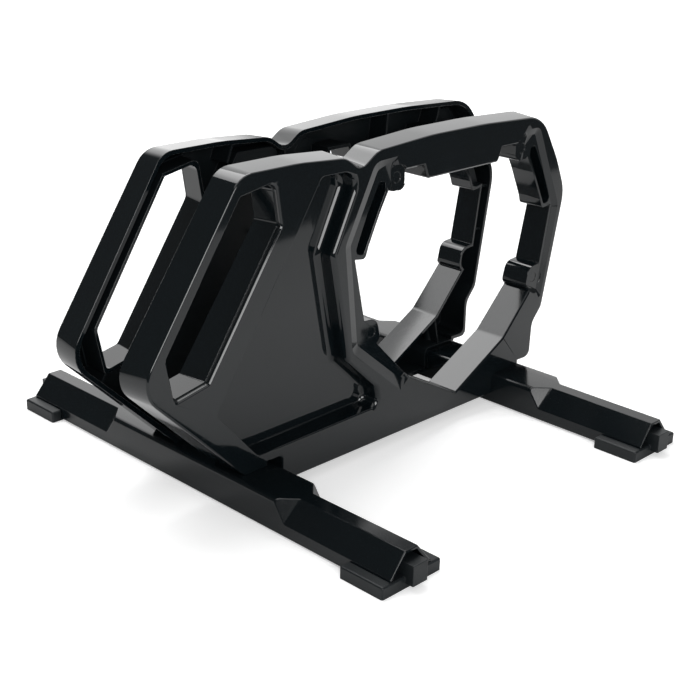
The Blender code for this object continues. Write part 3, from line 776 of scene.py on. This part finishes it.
def floor_material(look):
    """Pale matt floor that reads as white and still takes the stand's shadow."""
    material, tree = new_material("studio_floor")
    place = tree.place()
    color = cloudy(tree, tree.noise(place, *FLOOR_NOISE), look.floor_color, FLOOR_SHADES)
    matt = tree.node("ShaderNodeBsdfDiffuse", {}, {"Color": color})
    far = tree.node("ShaderNodeVectorMath", {"operation": "LENGTH"}, {0: place}, output="Value")
    lift = tree.mixed(far.between(*FLOOR_TURNS_WHITE), shade(WHITE, look.floor_lift), WHITE)
    seen = light_path(tree, "Is Camera Ray", "Is Transmission Ray")
    glow = tree.node("ShaderNodeEmission", {}, {"Color": lift, "Strength": seen})
    both = tree.node("ShaderNodeAddShader", {}, {0: matt, 1: glow})
    tree.node("ShaderNodeOutputMaterial", {}, {"Surface": both})
    return material


def tent_material():
    """The dark studio round the table, which only shows in gloss: pale behind the stand and overhead."""
    material, tree = new_material("studio_tent")
    outputs = tree.node("ShaderNodeSeparateXYZ", {}, {0: tree.place()}).socket.node.outputs
    x, y, z = (Flow(tree, outputs[axis]) for axis in "XYZ")
    away, across, near_card = (x * way[0] + y * way[1] for way in (AWAY, ACROSS, CARD_WAY))
    backdrop = away.between(*BACKDROP_BEHIND) * z.between(*BACKDROP_ABOVE)
    ceiling = z.between(*CEILING_ABOVE)
    level = BRIGHT_GLOW - across.between(*BRIGHT_FALL) * BRIGHT_LOSS
    bright = backdrop.most(ceiling) * across.between(*BRIGHT_FROM) * level
    card = near_card.between(*CARD_BEHIND) * z.between(*CARD_FOOT) * (1 - z.between(*CARD_TOP))
    strength = TENT_GLOW + bright + card
    glow = tree.node("ShaderNodeEmission", {}, {"Color": WHITE, "Strength": strength})
    tree.node("ShaderNodeOutputMaterial", {}, {"Surface": glow})
    return material


class STAND_OT_studio(bpy.types.Operator):
    """Set up the floor, the dark tent, the lights and the camera"""
    bl_idname = "wheel_stand.studio"
    bl_label = "Studio"

    def execute(self, context):
        look = context.scene.stand_studio
        self.floor(look)
        self.tent()
        self.softbox(context, "overhead_softbox", *OVERHEAD_SOFTBOX, look.lamp_power)
        self.softbox(context, "camera_softbox", *CAMERA_SOFTBOX, look.camera_lamp_power)
        self.sky(context, look)
        self.camera(context)
        context.scene.view_settings.view_transform = "Standard"
        return {"FINISHED"}

    def floor(self, look):
        bm = bmesh.new()
        for x0, y0, x1, y1 in (FLOOR_REACH, APRON_REACH):
            sheet = bmesh.ops.create_grid(bm, x_segments=FLOOR_GRID, y_segments=FLOOR_GRID, size=0.5)["verts"]
            bmesh.ops.scale(bm, vec=(x1 - x0, y1 - y0, 1), verts=sheet)
            bmesh.ops.translate(bm, vec=((x0 + x1) / 2, (y0 + y1) / 2, -FLOOR_DROP), verts=sheet)
        stage_mesh("studio_floor", bm, floor_material(look))

    def tent(self):
        bm = bmesh.new()
        bmesh.ops.create_icosphere(bm, subdivisions=TENT_DIVISIONS, radius=TENT_RADIUS)
        bmesh.ops.reverse_faces(bm, faces=bm.faces)
        tent = stage_mesh("studio_tent", bm, tent_material())
        tent.visible_camera = False
        tent.visible_diffuse = False
        tent.visible_shadow = False
        tent.visible_transmission = False
        tent.visible_volume_scatter = False

    def softbox(self, context, name, place, size, power):
        """A rectangular soft lamp that looks at the stand."""
        lamp = bpy.data.lights.new(name, "AREA")
        lamp.shape = "RECTANGLE"
        lamp.size, lamp.size_y = size
        lamp.energy = power
        box = bpy.data.objects.new(name, lamp)
        box.location = place
        box.rotation_euler = (LAMP_TARGET - box.location).to_track_quat("-Z", "Y").to_euler()
        context.scene.collection.objects.link(box)

    def sky(self, context, look):
        """Even light from all round, which itself shows as white."""
        world = bpy.data.worlds.new("studio_world")
        context.scene.world = world
        world.use_nodes = True
        tree = ShaderTree(world.node_tree)
        seen = light_path(tree, "Is Camera Ray", "Is Glossy Ray", "Is Transmission Ray")
        strength = seen.most(look.sky_strength)
        glow = tree.node("ShaderNodeBackground", {}, {"Color": WHITE, "Strength": strength})
        tree.node("ShaderNodeOutputWorld", {}, {"Surface": glow})

    def camera(self, context):
        data = bpy.data.cameras.new("portrait_camera")
        data.sensor_width = CAMERA_SENSOR
        data.lens = CAMERA_LENS
        data.clip_start, data.clip_end = CAMERA_CLIP
        camera = bpy.data.objects.new("portrait_camera", data)
        columns = Matrix((CAMERA_RIGHT, CAMERA_UP, [-part for part in CAMERA_AHEAD])).transposed()
        camera.matrix_world = Matrix.Translation(CAMERA_PLACE) @ columns.to_4x4()
        context.scene.collection.objects.link(camera)
        context.scene.camera = camera


# Sidebar and registration

class STAND_PT_sidebar(bpy.types.Panel):
    """Sidebar with the stand's pieces and looks"""
    bl_idname = "STAND_PT_sidebar"
    bl_label = "Wheel Stand"
    bl_space_type = "VIEW_3D"
    bl_region_type = "UI"
    bl_category = "Wheel Stand"

    def draw(self, context):
        for operator in OPERATORS:
            self.layout.operator(operator.bl_idname)
        for group in LOOKS:
            box = self.layout.box()
            look = getattr(context.scene, group)
            for name in look.bl_rna.properties.keys():
                if name not in {"rna_type", "name"}:
                    box.prop(look, name)


LOOKS = {"stand_plastic": PlasticLook, "stand_rubber": RubberLook, "stand_steel": SteelLook,
         "stand_studio": StudioLook}
OPERATORS = (STAND_OT_side_frames, STAND_OT_cross_bars, STAND_OT_end_feet, STAND_OT_frame_screws,
             STAND_OT_studio)
CLASSES = (*LOOKS.values(), *OPERATORS, STAND_PT_sidebar)


def register():
    for entry in CLASSES:
        bpy.utils.register_class(entry)
    for name, group in LOOKS.items():
        setattr(bpy.types.Scene, name, PointerProperty(type=group))


def unregister():
    for name in LOOKS:
        delattr(bpy.types.Scene, name)
    for entry in reversed(CLASSES):
        bpy.utils.unregister_class(entry)


def main():
    register()
    bpy.ops.wheel_stand.side_frames()
    bpy.ops.wheel_stand.cross_bars()
    bpy.ops.wheel_stand.end_feet()
    bpy.ops.wheel_stand.frame_screws()
    bpy.ops.wheel_stand.studio()
    bpy.context.view_layer.update()


if __name__ == "__main__":
    main()
